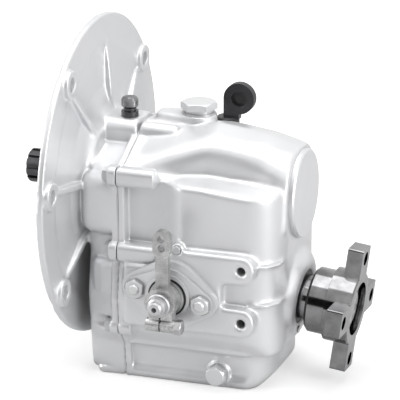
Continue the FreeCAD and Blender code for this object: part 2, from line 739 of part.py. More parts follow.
# Gasket and joint fasteners
gasket = prism(joint_outline, on_x(part_x - gasket_t / 2), V(gasket_t, 0, 0)).cut(hollow_case)
for y, z in lug_spots:
    gasket = gasket.cut(cyl(V(part_x - 5, y, z), X, joint_bolt_r + 0.25, 10.0))
put("housing_gasket", gasket)
head_x = part_x - gasket_t / 2 - joint_t - 2.0
bolts = []
for y, z in lug_spots:
    length = joint_t + lug_reach(z) - 3.0 + part_x - head_x
    head = hex_head(V(head_x, y, z), V(-1, 0, 0), 10.0, 4.5, 15.0)
    bolts.append(head.fuse(cyl(V(head_x, y, z), X, joint_bolt_r, length)))
put("joint_bolts", *bolts)

# Input line
spline_stop = spline_end + spline_len
relief = spline_stop - spline_relief
spline = turned([(spline_end, 0), (spline_end, spline_r - 1.2), (spline_end + 1.2, spline_r),
                 (relief, spline_r), (relief, spline_root_r), (spline_stop + 1.0, spline_root_r),
                 (spline_stop + 1.0, 0)], V(0, 0, 0), X)
slot_w = 2 * math.pi * spline_r / spline_teeth - spline_land
for k in range(spline_teeth):
    slot = Part.makeBox(spline_len + 4.0, slot_w, 4.0, V(spline_end - 1, -slot_w / 2, spline_root_r + 0.1))
    slot.rotate(V(0, 0, 0), X, 360.0 * k / spline_teeth + 9.0)
    spline = spline.cut(slot)
input_brg_end = input_brg_x + input_brg[2]
shaft = turned([(spline_stop, 0), (spline_stop, input_r), (input_brg_end + 0.5, input_r),
                (input_brg_end + 0.5, 15.5), (ahead_pinion_x, 15.5), (astern_pinion_x, 14.0),
                (input_rear_x - 0.5, 14.0), (input_rear_x - 0.5, input_rear_brg[0]),
                (input_rear_x + input_rear_brg[2] + 3, input_rear_brg[0]),
                (input_rear_x + input_rear_brg[2] + 3, 0)], V(0, 0, 0), X)
ring_x = input_rear_x + input_rear_brg[2] + 0.2
groove = tube(V(ring_x, 0, 0), X, 20.0, input_rear_brg[0] - 0.8, 1.3)
put("input_shaft", fuse(spline, shaft.cut(groove), pinion_a, pinion_b))
put("input_circlip", tube(V(ring_x + 0.05, 0, 0), X, 13.0, input_rear_brg[0] - 0.75, 1.2))
put("input_front_bearing", *bearing(V(input_brg_x, 0, 0), X, input_brg))
put("input_rear_bearing", *bearing(V(input_rear_x, 0, 0), X, input_rear_brg))
put("input_seal", tube(V(carrier_x + 0.5, 0, 0), X, input_seal_r - fit_gap, input_r + run_gap,
                       input_seal_t))
carrier_stop = carrier_seat_x + 2.4
carrier = turned([(carrier_x, 0), (carrier_x, carrier_r - 1.0), (carrier_x + 1.0, carrier_r),
                  (carrier_seat_x, carrier_r), (carrier_seat_x, carrier_spigot_r),
                  (carrier_stop, carrier_spigot_r), (carrier_stop, 0)], V(0, 0, 0), X)
carrier = cut(carrier, cyl(V(carrier_x - 1.0, 0, 0), X, input_seal_r, input_seal_t + 1.5),
              cyl(V(carrier_x - 1.0, 0, 0), X, carrier_lip_r, 20.0))
screws = []
for angle in carrier_angles:
    spot = plate_point(angle, carrier_screw_pitch, carrier_x)
    carrier = cut(carrier, cyl(spot, X, 4.3, 5.0), cyl(spot, X, carrier_screw_r + 0.2, 20.0))
    screw = cyl(spot + X * 0.6, X, 4.1, 4.3).fuse(cyl(spot + X * 4.0, X, carrier_screw_r, 16.0))
    screws.append(screw.cut(hexagon(spot + X * 0.5, X, 3.4, 2.6)))
put("seal_carrier", carrier)
put("carrier_screws", *screws)
cover = turned([(rear_x, 0), (rear_x, cap_r), (rear_x + cap_t - 1.2, cap_r), (rear_x + cap_t, cap_r - 1.2),
                (rear_x + cap_t, 0)], V(0, 0, 0), X)
spigot = tube(V(input_rear_x + input_rear_brg[2] + 2.0, 0, 0), X, input_rear_brg[1] - fit_gap,
              input_rear_brg[1] - 4.0, rear_x - input_rear_x - input_rear_brg[2] - 2.0)
put("rear_cover", fuse(cover, spigot))

# Output line
gear_in_u = gear_u - gear_face / 2
gear_out_u = gear_u + gear_face / 2
journal_r = 17.0
web_u = gear_in_u - drum_web
front_u = output_front_u + output_front_brg[2]
recess_u = flange_u - coupling_recess
output_shaft = out_turned([
    (output_front_u - 1, 0), (output_front_u - 1, output_r), (front_u + 0.3, output_r),
    (front_u + 0.3, 18.5),
    (-gear_out_u - 0.6, 18.5), (-gear_out_u - 0.6, journal_r), (-web_u + 0.4, journal_r),
    (-web_u + 0.4, hub_spline_r), (web_u - 0.4, hub_spline_r), (web_u - 0.4, journal_r),
    (gear_out_u + 4.5, journal_r), (gear_out_u + 4.5, output_rear_brg[0]),
    (output_rear_u + output_rear_brg[2] + 0.5, output_rear_brg[0]),
    (output_rear_u + output_rear_brg[2] + 0.5, coupling_bore_r), (recess_u, coupling_bore_r),
    (recess_u, 12.0), (flange_u - 3.5, 12.0), (flange_u - 3.5, 0)])
put("output_shaft", output_shaft)
put("output_front_bearing", *bearing(out_at(output_front_u), OUT, output_front_brg))
put("output_rear_bearing", *bearing(out_at(output_rear_u), OUT, output_rear_brg))
put("output_seal", tube(out_at(seal_u), OUT, seal_r, neck_r + run_gap, seal_t))
neck_u = output_rear_u + output_rear_brg[2] + 0.6
lug_start = flange_u - coupling_lug_t
hub = out_turned([(neck_u, 0), (neck_u, neck_r), (hub_u, neck_r), (hub_u, hub_r - 2.0),
                  (hub_u + 2.0, hub_r), (lug_start - 8.5, hub_r), (lug_start - 7.5, hub_disc_r),
                  (flange_u - 1.0, hub_disc_r),
                  (flange_u, hub_disc_r - 1.0), (flange_u, 0)])

flange = hub
for k in range(coupling_count):
    radial, sideways = flange_frame(coupling_phase + 360.0 / coupling_count * k)
    origin = out_at(lug_start)
    lug = prism([(coupling_lug_w / 2, 10.0, 0), (coupling_lug_w / 2, coupling_out_r, 1.5),
                 (-coupling_lug_w / 2, coupling_out_r, 1.5), (-coupling_lug_w / 2, 10.0, 0)],
                lambda a, r: origin + sideways * a + radial * r, OUT * coupling_lug_t)
    flange = flange.fuse(lug)
flange = cut(flange, out_cyl(60.0, coupling_bore_r + fit_gap, 80.0),
             out_cyl(recess_u, coupling_recess_r, 40.0))
for k in range(coupling_count):
    radial, sideways = flange_frame(coupling_phase + 360.0 / coupling_count * k)
    hole_start = out_at(lug_start - 20.0) + radial * (coupling_pcd / 2)
    flange = flange.cut(cyl(hole_start, OUT, coupling_bolt_r, 60.0))
put("output_flange", flange.removeSplitter())
nut = hexagon(out_at(recess_u + 0.05), OUT, coupling_nut_af, 9.0, 10.0)
nut = nut.fuse(out_cyl(recess_u + 0.05, 18.5, 2.0))
put("boss_plug", cyl(boss_plug_spot + OUT * 0.8, OUT * -1, boss_plug_r - fit_gap, 7.4))
put("output_flange_nut", nut.cut(out_cyl(100.0, 12.0 + fit_gap, 30.0)).removeSplitter())


def clutch_gear(body, sign):
    """Gear with its clutch drum; sign is -1 ahead of the clutch centre and +1 behind it."""
    back, mouth = gear_in_u - 0.8, sleeve_half - 1
    drum = out_turned([(sign * (gear_in_u + 1), 0), (sign * (gear_in_u + 1), drum_r - 8),
                       (sign * back, drum_r - 8), (sign * back, drum_r), (sign * mouth, drum_r),
                       (sign * mouth, drum_r - drum_wall), (sign * web_u, drum_r - drum_wall),
                       (sign * web_u, 0)])
    return fuse(body, drum).cut(out_cyl(-60.0, 20.0, 120.0))


def clutch_bush(sign):
    low = min(sign * web_u, sign * gear_out_u)
    return tube(out_at(low), OUT, 20.0, journal_r + run_gap, gear_out_u - web_u)


def disc_stack(sign, first, outer, inner):
    discs = []
    for k in range(first, 2 * disc_pairs, 2):
        far = web_u - disc_gap - k * (disc_t + disc_gap)
        low = far - disc_t if sign > 0 else -far
        discs.append(tube(out_at(low), OUT, outer, inner, disc_t))
    return discs


drum_in = drum_r - drum_wall
for word, body, sign in (("ahead", gear_a, -1), ("astern", gear_b, 1)):
    put(word + "_gear", clutch_gear(body, sign))
    put(word + "_gear_bush", clutch_bush(sign))
    put(word + "_steel_discs", *disc_stack(sign, 0, drum_in - 0.1, hub_spline_r + 1.5))
    put(word + "_friction_discs", *disc_stack(sign, 1, drum_in - 1.5, hub_spline_r))
groove_half = pin_r + 0.35
put("shift_sleeve", out_turned([
    (-sleeve_half, hub_spline_r + run_gap), (-sleeve_half, sleeve_r), (-groove_half, sleeve_r),
    (-groove_half, sleeve_groove_r), (groove_half, sleeve_groove_r), (groove_half, sleeve_r),
    (sleeve_half, sleeve_r), (sleeve_half, hub_spline_r + run_gap)]))

# Astern idler
idler_start = idler_pitch_x - gear_face / 2
put("idler_gear", idler.cut(cyl(APEX + IDLE * (idler_start - 5), IDLE, 10.0, 60.0)))
put("idler_bush", tube(APEX + IDLE * idler_start, IDLE, 10.0, 8.0 + run_gap, gear_face))
idler_pin = cyl(APEX + IDLE * (idler_start - 3.0), IDLE, 8.0, gear_face + 24.0)
put("idler_shaft", idler_pin.fuse(cyl(APEX + IDLE * (idler_start - 3.0), IDLE, 10.5, 2.6)).removeSplitter())

# Shift cover, shaft and lever
def stadium(mid_r, end_r, near, far):
    """Cover shape: round middle and two smaller ends over the studs, joined by flats."""
    a = math.radians(stud_tilt)
    lean = math.acos((mid_r - end_r) / stud_reach)
    outline = []
    for sign in (1, -1):
        for flip in (-1, 1):
            angle = sign * flip * lean if sign > 0 else math.pi + flip * lean
            nx, nz = math.cos(angle), math.sin(angle)
            first = (mid_r * nx, mid_r * nz)
            last = (sign * stud_reach + end_r * nx, end_r * nz)
            outline += [first, last] if flip < 0 else [last, first]
    corners = [side_spot(near, x * math.cos(a) + z * math.sin(a), z * math.cos(a) - x * math.sin(a))
               for x, z in outline]
    plate = Part.Face(Part.makePolygon(corners + [corners[0]])).extrude(SIDE * (far - near))
    return fuse(plate, cyl(side_spot(near), SIDE, mid_r, far - near),
                cyl(stud_spot(1, near), SIDE, end_r, far - near),
                cyl(stud_spot(-1, near), SIDE, end_r, far - near))


cover_face = pad_half + gasket_t
cover_out = cover_face + cover_t
shift_cover = fuse(stadium(cover_mid_r, cover_end_r, cover_face, cover_out),
                   stadium(cover_mid_r - 5.0, cover_end_r - 2.5, cover_out - 1, cover_out + cover_tier),
                   cyl(side_spot(cover_face), SIDE, cover_boss_r, cover_boss_end - cover_face),
                   cyl(side_spot(pad_half - 8.0), SIDE, shift_r + 2.0 - fit_gap, 12.0))
shift_cover = cut(shift_cover, cyl(side_spot(40.0), SIDE, shift_r + run_gap, 60.0),
                  cyl(side_spot(cover_boss_end - 4.0), SIDE, shift_seal_r, 10.0))
nut_seat = cover_out + 1.0
for sign in (-1, 1):
    shift_cover = shift_cover.cut(cyl(stud_spot(sign, nut_seat), SIDE, 8.1, 10.0))
gasket = stadium(cover_mid_r, cover_end_r, pad_half, cover_face)
gasket = gasket.cut(cyl(side_spot(40.0), SIDE, shift_r + 2.0, 60.0))
for sign in (-1, 1):
    shift_cover = shift_cover.cut(cyl(stud_spot(sign, 50.0), SIDE, stud_r + 0.3, 60.0))
    gasket = gasket.cut(cyl(stud_spot(sign, 50.0), SIDE, stud_r + 0.3, 60.0))
put("shift_cover", shift_cover)
put("shift_cover_gasket", gasket)
stud_end = nut_seat + stud_nut_h + 1.5
studs, nuts = [], []
for sign in (-1, 1):
    length = stud_end - pad_half + 9.0
    studs.append(turned([(0, 0), (0, stud_r), (length - 1.0, stud_r), (length, stud_r - 1.0), (length, 0)],
                        stud_spot(sign, pad_half - 9.0), SIDE))
    nut = hex_head(stud_spot(sign, nut_seat), SIDE, 13.0, stud_nut_h)
    nut = nut.fuse(cyl(stud_spot(sign, nut_seat), SIDE, 8.0, 1.6))
    nuts.append(nut.cut(cyl(stud_spot(sign, 50.0), SIDE, stud_r + fit_gap, 60.0)))
put("shift_cover_studs", *studs)
put("shift_cover_nuts", *nuts)
put("shift_seal", tube(side_spot(cover_boss_end - 3.9), SIDE, shift_seal_r - fit_gap,
                       shift_r + run_gap, 3.6))
collar_start = cover_boss_end - shift_inner_y + 0.3
collar_end = lever_front - lever_depth - shift_inner_y - 0.3
neck_start = lever_front - shift_inner_y + 4.0
tip_len = shift_tip_y - shift_inner_y
shift_shaft = turned([
    (0, 0), (0, shift_r), (collar_start, shift_r), (collar_start, shift_collar_r),
    (collar_end, shift_collar_r), (collar_end, shift_r), (neck_start - 0.8, shift_r),
    (neck_start, shift_r - 0.8), (neck_start, shift_neck_r), (neck_start + 3.0, shift_neck_r - 0.4),
    (neck_start + 4.0, shift_tip_r), (tip_len - 1.2, shift_tip_r), (tip_len, shift_tip_r - 1.2),
    (tip_len, 0)], side_spot(shift_inner_y), SIDE)
shift_shaft = shift_shaft.cut(cyl(side_spot(shift_tip_y + 1), V(0, 1, 0), 1.9, 6.0))
finger = cyl(side_spot(sleeve_groove_r + 1.0, 0, -pin_throw), SIDE, pin_r, shift_inner_y - sleeve_groove_r)
put("shift_shaft", fuse(shift_shaft, finger))

barrel_y = lever_front - 3.5
lever = cyl(side_spot(lever_front - lever_depth), SIDE, lever_ring_r, lever_depth)
barrel = cyl(side_spot(barrel_y, -clamp_half, clamp_barrel_z), X, clamp_barrel_r, 2 * clamp_half)
neck = Part.makeBox(clamp_neck_w, 8.0, 12.0, side_spot(barrel_y + 2.0, -clamp_neck_w / 2, clamp_barrel_z))
arm_front = lever_front - lever_arm_set
arm_w = lever_arm_w / 2
arm = prism([(-arm_w, 4.0, 0), (-arm_w, lever_hole_far, 2), (arm_w, lever_hole_far, 2), (arm_w, 4.0, 0)],
            lambda x, z: side_spot(arm_front, x, z), V(0, lever_arm_t, 0))
eye_w, (eye_low, eye_high) = lever_eye_w / 2, lever_eye_ends
eye = prism([(-eye_w, eye_low, eye_w - 0.3), (-eye_w, eye_high, eye_w - 0.3),
             (eye_w, eye_high, eye_w - 0.3), (eye_w, eye_low, eye_w - 0.3)],
            lambda x, z: side_spot(arm_front + 1.4, x, z), V(0, lever_arm_t + 1.4, 0))
lever = fuse(lever, barrel, neck, arm, eye)
lever = cut(lever, cyl(side_spot(40.0), SIDE, shift_r + fit_gap, 80.0),
            Part.makeBox(clamp_slit, 40.0, 40.0, side_spot(lever_front + 14.0, -clamp_slit / 2, -40.0)),
            cyl(side_spot(barrel_y, -30.0, clamp_barrel_z), X, clamp_bolt_r + fit_gap, 60.0))
for reach in (lever_hole_far, lever_hole_far - lever_hole_pitch):
    lever = lever.cut(cyl(side_spot(lever_front - 20.0, 0, reach), SIDE, lever_hole_r, 40.0))
put("shift_lever", lever)
clamp_head = side_spot(barrel_y, clamp_half + 0.1, clamp_barrel_z)
clamp_shank = cyl(clamp_head - X * (2 * clamp_half - 0.3), X, clamp_bolt_r, 2 * clamp_half)
put("lever_clamp_bolt", fuse(hex_head(clamp_head, X, 10.0, 5.0, 30.0), clamp_shank))

# Side plug, sump drain, filler, breather
put("side_plug", fuse(hex_head(side_plug_spot, SIDE, 5.5, 2.2),
                      cyl(side_plug_spot, V(0, 1, 0), side_plug_r - fit_gap, 8.0)))
drain_seat = V(drain_x, -sump_half - 1.5, drain_z)
put("drain_washer", tube(drain_seat, SIDE, drain_bore_r + 2.5, drain_bore_r + fit_gap, washer_t))
drain_head = drain_seat + SIDE * washer_t
put("drain_plug", fuse(hex_head(drain_head, SIDE, drain_af, 7.0),
                       cyl(drain_head, V(0, 1, 0), drain_bore_r - fit_gap, 10.0)))
filler_seat = V(filler_x, filler_y, filler_top)
put("filler_washer", tube(filler_seat, UP, filler_bore_r + 3.4, filler_bore_r + fit_gap, washer_t))
filler_collar = filler_seat + UP * washer_t
put("filler_plug", fuse(hex_head(filler_collar + UP * 2.3, UP, filler_af, 5.3, 12.0),
                        cyl(filler_collar, UP, 10.8, 2.4),
                        cyl(filler_seat - UP * 12.0, UP, filler_bore_r - fit_gap, 14.0)))
breather_seat_spot = V(breather_x, breather_y, breather_seat)
breather_body = turned([(-breather_stem, 0), (-breather_stem, breather_stem_r), (0, breather_stem_r),
                        (0, breather_cap_r), (4.2, breather_cap_r), (4.2, 4.6), (8.6, 4.6), (8.6, 0)],
                       breather_seat_spot, UP)
breather_cap = turned([(6.6, 4.7), (6.6, 5.2), (8.2, breather_cap_r), (12.6, breather_cap_r),
                       (14.4, breather_cap_r - 1.0), (14.9, 4.2), (14.9, 0), (8.65, 0), (8.65, 4.7)],
                      breather_seat_spot, UP)
put("breather_body", breather_body)
put("breather_cap", breather_cap)

# Dipstick
dip_spot = V(dip_x, dip_y, dip_seat)
grip_centre = dip_spot + V(9.2, 0, 20.0)
grip_t = 6.6
foot = turned([(0.3, 0), (0.3, 8.6), (4.6, 8.6), (5.4, 7.8), (5.4, 0)], dip_spot, UP)
eye = cyl(grip_centre - V(0, grip_t / 2, 0), V(0, 1, 0), dip_r, grip_t)
stem = Part.makeBox(12.0, grip_t, grip_centre.z - dip_seat - 4.0,
                    V(grip_centre.x - dip_r, dip_y - grip_t / 2, dip_seat + 4.0))
recess = cyl(grip_centre - V(0, grip_t / 2 + 1, 0), V(0, 1, 0), 5.8, 4.2)
put("dipstick_grip", cut(fuse(foot, eye, stem, cyl(dip_spot - UP * 8, UP, 4.9, 9.0)), recess,
                         cyl(dip_spot - UP * 9, UP, 1.5, 12.0)))
put("dipstick_blade", cyl(dip_spot - UP * 128, UP, 1.5 - fit_gap, 131.0))

for name, shape in pieces.items():
    shape.exportStep("parts/" + name + ".step")
    print(name, shape.isValid(), len(shape.Solids), round(shape.Volume))
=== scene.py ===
import json
import math

import bmesh
import bpy
import numpy as np
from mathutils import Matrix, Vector
from mathutils.bvhtree import BVHTree


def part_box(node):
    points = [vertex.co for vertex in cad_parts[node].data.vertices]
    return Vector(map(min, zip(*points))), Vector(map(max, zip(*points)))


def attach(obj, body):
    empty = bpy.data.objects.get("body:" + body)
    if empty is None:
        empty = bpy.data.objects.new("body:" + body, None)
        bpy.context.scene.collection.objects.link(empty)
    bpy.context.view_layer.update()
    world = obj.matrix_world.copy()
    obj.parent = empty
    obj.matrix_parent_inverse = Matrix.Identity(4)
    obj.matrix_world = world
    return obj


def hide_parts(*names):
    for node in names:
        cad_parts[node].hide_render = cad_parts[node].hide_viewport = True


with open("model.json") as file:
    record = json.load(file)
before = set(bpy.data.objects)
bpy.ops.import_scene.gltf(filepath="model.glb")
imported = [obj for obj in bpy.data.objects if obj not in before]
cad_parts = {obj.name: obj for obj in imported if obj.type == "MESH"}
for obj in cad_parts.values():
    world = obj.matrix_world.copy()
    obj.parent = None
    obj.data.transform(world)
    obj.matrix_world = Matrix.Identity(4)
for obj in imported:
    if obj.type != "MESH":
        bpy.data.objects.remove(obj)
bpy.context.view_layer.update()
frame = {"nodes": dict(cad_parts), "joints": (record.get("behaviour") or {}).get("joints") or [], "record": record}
scene = bpy.context.scene

# Places and directions that the frame gives, in metres
MM = 0.001
OUTPUT = next(m for m in frame["record"]["mounts"] if m["name"] == "output_coupling")
OUT_AXIS = Vector(OUTPUT["axis"]).normalized()
OUT_FACE = Vector(OUTPUT["pos_m"])
OUT_TILT = math.atan2(-OUT_AXIS.z, OUT_AXIS.x)
LEVER = next(j for j in frame["joints"] if j["name"] == "lever_swing")
LEVER_AXIS = Vector(LEVER["pos_m"])
FLOOR_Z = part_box("rear_housing")[0][2]

# Scales of the noises in the finishes, per metre
CLOUDS, CAST_GRIT, CAST_SKIN, CAST_PORES = 14.0, 60.0, 420.0, 1800.0
BLOTCHES, RUBBED, SPECKLES, GROUND, LATHE_RINGS = 90.0, 240.0, 1300.0, 1500.0, 9000.0
MOULD_CLOUDS, MOULD_SHEEN = 70.0, 300.0
# Shades of a finish beside its base colour; the second is painted shade that darkens the casting's corners
CLOUD_SHADE, PAINTED_CORNER_SHADE, WORN_SHADE, SPECK_SHADE, PALE_SHADE = 0.95, 0.62, 0.64, 0.35, 1.5
# Painted shade in the casting's corners: how far the occlusion reaches, its samples, and its span
CORNER_SHADE_REACH, CORNER_SHADE_SAMPLES, CORNER_SHADE_SPAN = 12 * MM, 4, (0.25, 0.85)
# Depths of the fine reliefs
CAST_DEPTH, LATHE_DEPTH, GROUND_DEPTH, MOULD_DEPTH = 0.25 * MM, 0.05 * MM, 0.12 * MM, 0.1 * MM
# A mix node's colour sockets
MIX_FIRST, MIX_SECOND, MIXED = 6, 7, 2

# How the castings are meshed and blended
RING_POINTS = 64
VOXEL = 0.85 * MM
BLEND_ROUNDS = 36
CASTING_FACES = 110000
# Held up to the first distance from a seated piece, free from the second on
SEAT_HELD, SEAT_FREE = 0.8 * MM, 4.5 * MM
# Blended by RIB_FREEDOM where the wall is thinner than the first, fully from the second on
RIB_WALL, FULL_WALL = 4.8 * MM, 7.0 * MM
RIB_FREEDOM = 0.12
WALL_PROBE_MM = 0.6
WALL_ROUNDS = 3
# Broad edges: how far their softness reaches, and for how many rounds
SOFT_REACH = 17 * MM
SOFT_ROUNDS = 250
FAR_AWAY = 1.0

# Camera at the photo's viewing angle
IMAGE_PX = 400
FOCAL_PX = 2618.6
SENSOR_MM = 36.0
CAMERA_PLACE = (0.67489, -1.74254, 0.59718)
CAMERA_REACH = 20.0
VIEW_AZIMUTH = math.radians(18.796)
VIEW_ELEVATION = math.radians(18.369)

# Studio: each lamp's place, its width and height, and its watts
LAMPS = {
    "top_light": ((0.1, 0.0, 1.5), (1.4, 1.2), 16.0),
    "left_box": ((-1.45, -1.05, 0.4), (0.7, 1.2), 13.0),
    "right_box": ((1.4, -0.5, 0.4), (0.5, 1.2), 10.0),
}
LAMP_TARGET = Vector((0.08, 0.0, -0.03))
ROOM_LIGHT = (0.25, 0.25, 0.255)
WHITE = (1.0, 1.0, 1.0)
FLOOR_HALF = 6.0
FLOOR_COLOUR = (0.66, 0.66, 0.66)
FLOOR_ROUGHNESS = 0.9
FLOOR_GLOSSY_SHARE = 0.3
# The floor's glow near the object and far off, and the distances between which it rises
FLOOR_GLOW, FLOOR_FADE = (0.54, 1.0), (0.25, 0.9)
SCREEN_X, SCREEN_Y, SCREEN_Z = (-1.6, 1.2), -2.4, (-0.1, 1.2)
SCREEN_COLOUR = (0.02, 0.02, 0.02)


def new_object(name, data):
    item = bpy.data.objects.new(name, data)
    scene.collection.objects.link(item)
    return item


# Material helpers
def new_material(name):
    material = bpy.data.materials.new(name)
    material.use_nodes = True
    tree = material.node_tree
    shader = tree.nodes["Principled BSDF"]
    coordinates = tree.nodes.new("ShaderNodeTexCoord").outputs["Object"]
    return material, tree, shader, coordinates


def set_inputs(node, values):
    """Numbers as they are, colours with full opacity."""
    for slot, value in values.items():
        if isinstance(value, tuple):
            node.inputs[slot].default_value = (*value, 1.0)
        else:
            node.inputs[slot].default_value = value


def noise(tree, vector, scale, detail=3.0, roughness=0.5):
    node = tree.nodes.new("ShaderNodeTexNoise")
    set_inputs(node, {"Scale": scale, "Detail": detail, "Roughness": roughness})
    tree.links.new(vector, node.inputs["Vector"])
    return node.outputs["Fac"]


def ramp(tree, value, low, high, start, end):
    """Map a value between low and high to start..end."""
    node = tree.nodes.new("ShaderNodeMapRange")
    set_inputs(node, {"From Min": low, "From Max": high, "To Min": start, "To Max": end})
    tree.links.new(value, node.inputs["Value"])
    return node.outputs["Result"]


def patches(tree, vector, scale, detail=3.0, roughness=0.5, span=(0.3, 0.7), result=(0.0, 1.0)):
    """Soft patches: a noise with its span stretched to result."""
    return ramp(tree, noise(tree, vector, scale, detail, roughness), *span, *result)


def mix_colour(tree, factor, first, second):
    node = tree.nodes.new("ShaderNodeMix")
    node.data_type = "RGBA"
    tree.links.new(factor, node.inputs["Factor"])
    for slot, colour in ((MIX_FIRST, first), (MIX_SECOND, second)):
        if isinstance(colour, tuple):
            set_inputs(node, {slot: colour})
        else:
            tree.links.new(colour, node.inputs[slot])
    return node.outputs[MIXED]


def shaded(colour, share):
    return tuple(share * part for part in colour)


def math_node(tree, operation, first, second=None):
    node = tree.nodes.new("ShaderNodeMath")
    node.operation = operation
    for slot, value in enumerate((first, second)):
        if value is None:
            continue
        if isinstance(value, float):
            node.inputs[slot].default_value = value
        else:
            tree.links.new(value, node.inputs[slot])
    return node.outputs[0]


def square(tree, value):
    return math_node(tree, "MULTIPLY", value, value)


def bump(tree, shader, height, strength, distance):
    node = tree.nodes.new("ShaderNodeBump")
    set_inputs(node, {"Strength": strength, "Distance": distance})
    tree.links.new(height, node.inputs["Height"])
    tree.links.new(node.outputs["Normal"], shader.inputs["Normal"])


def turned_lines(tree, coordinates, centre, turn, along_y):
    """Fine rings of a lathe tool: noise that changes only along and away from the axis."""
    mapping = tree.nodes.new("ShaderNodeMapping")
    mapping.vector_type = "TEXTURE"
    mapping.inputs["Location"].default_value = centre
    mapping.inputs["Rotation"].default_value = (0.0, turn, 0.0)
    tree.links.new(coordinates, mapping.inputs["Vector"])
    split = tree.nodes.new("ShaderNodeSeparateXYZ")
    tree.links.new(mapping.outputs["Vector"], split.inputs[0])
    x, y, z = split.outputs
    along, side = (y, x) if along_y else (x, y)
    squares = math_node(tree, "ADD", square(tree, side), square(tree, z))
    joined = tree.nodes.new("ShaderNodeCombineXYZ")
    tree.links.new(along, joined.inputs[0])
    tree.links.new(math_node(tree, "SQRT", squares), joined.inputs[1])
    return noise(tree, joined.outputs[0], LATHE_RINGS, detail=2.0)


# Finishes
def lacquered_casting(name, base, grain):
    """Silver-white lacquer over cast aluminium, darker in its corners as painted shade, and with a fine cast skin.
    """
    material, tree, shader, coordinates = new_material(name)
    cloud = patches(tree, coordinates, CLOUDS, detail=4.0)
    shade = mix_colour(tree, cloud, base, shaded(base, CLOUD_SHADE))
    # Painted shade: ambient occlusion darkens the lacquer in corners and hollows
    hollow = tree.nodes.new("ShaderNodeAmbientOcclusion")
    hollow.inputs["Distance"].default_value = CORNER_SHADE_REACH
    hollow.samples = CORNER_SHADE_SAMPLES
    corner = ramp(tree, hollow.outputs["AO"], *CORNER_SHADE_SPAN, 0.0, 1.0)
    corner_shaded = mix_colour(tree, corner, shaded(base, PAINTED_CORNER_SHADE), shade)
    tree.links.new(corner_shaded, shader.inputs["Base Color"])
    rough = patches(tree, coordinates, CAST_GRIT, detail=5.0, result=(0.33, 0.43))
    tree.links.new(rough, shader.inputs["Roughness"])
    set_inputs(shader, {"Metallic": 0.5, "Coat Weight": 0.25, "Coat Roughness": 0.2})
    pores = math_node(tree, "MULTIPLY", noise(tree, coordinates, CAST_PORES, detail=2.0), 0.4)
    skin = math_node(tree, "ADD", noise(tree, coordinates, CAST_SKIN), pores)
    bump(tree, shader, skin, grain, CAST_DEPTH)
    return material


def steel(name, base, rough, metallic=1.0, speckle=0.0, rings=None):
    """Bare or plated steel; rings gives (centre, turn, along_y) of a lathe-turned surface."""
    material, tree, shader, coordinates = new_material(name)
    blotch = patches(tree, coordinates, BLOTCHES, detail=4.0, span=(0.35, 0.65))
    colour = mix_colour(tree, blotch, shaded(base, WORN_SHADE), base)
    if speckle:
        spots = patches(tree, coordinates, SPECKLES, detail=2.0, roughness=0.6, span=(0.42, 0.6))
        spots = math_node(tree, "MULTIPLY", spots, speckle)
        colour = mix_colour(tree, spots, colour, shaded(base, SPECK_SHADE))
    tree.links.new(colour, shader.inputs["Base Color"])
    shader.inputs["Metallic"].default_value = metallic
    rubbed = patches(tree, coordinates, RUBBED, result=(rough * 0.8, rough * 1.25))
    tree.links.new(rubbed, shader.inputs["Roughness"])
    if rings:
        bump(tree, shader, turned_lines(tree, coordinates, *rings), 0.25, LATHE_DEPTH)
    else:
        bump(tree, shader, noise(tree, coordinates, GROUND), 0.15 + speckle * 0.5, GROUND_DEPTH)
    return material


def moulded(name, base, rough, grain_scale=1400.0):
    """Moulded plastic, rubber or sheet with a fine grain."""
    material, tree, shader, coordinates = new_material(name)
    cloud = patches(tree, coordinates, MOULD_CLOUDS, detail=4.0)
    colour = mix_colour(tree, cloud, base, shaded(base, PALE_SHADE))
    tree.links.new(colour, shader.inputs["Base Color"])
    sheen = patches(tree, coordinates, MOULD_SHEEN, result=(rough * 0.85, rough * 1.1))
    tree.links.new(sheen, shader.inputs["Roughness"])
    bump(tree, shader, noise(tree, coordinates, grain_scale, detail=2.0), 0.3, MOULD_DEPTH)
    return material


out_rings = (tuple(OUT_FACE), OUT_TILT, False)
lever_rings = (tuple(LEVER_AXIS), 0.0, True)
looks = {
    "painted": lacquered_casting("silver_lacquer", (0.80, 0.805, 0.815), 0.06),
    "fastener_paint": lacquered_casting("silver_lacquer_fasteners", (0.78, 0.785, 0.79), 0.03),
    "bright": steel("zinc_steel", (0.66, 0.66, 0.67), 0.3),
    "polished": steel("polished_flange", (0.28, 0.28, 0.285), 0.11, rings=out_rings),
    "lever": steel("cast_zinc_lever", (0.72, 0.72, 0.72), 0.4, speckle=0.6),
    "shift": steel("turned_shift_shaft", (0.66, 0.66, 0.67), 0.38, rings=lever_rings),
    "dark": steel("dark_spline", (0.11, 0.11, 0.115), 0.3, metallic=0.9),
    "gear": steel("ground_gear_steel", (0.55, 0.55, 0.56), 0.25),
    "bronze": steel("bearing_bronze", (0.58, 0.40, 0.2), 0.3),
    "rubber": moulded("seal_rubber", (0.02, 0.02, 0.022), 0.45),
    "gasket": moulded("gasket_sheet", (0.5, 0.5, 0.49), 0.7, 900.0),
    "aluminium": steel("washer_aluminium", (0.74, 0.74, 0.75), 0.35),
    "plastic": moulded("grip_plastic", (0.018, 0.018, 0.02), 0.42, 1100.0),
}
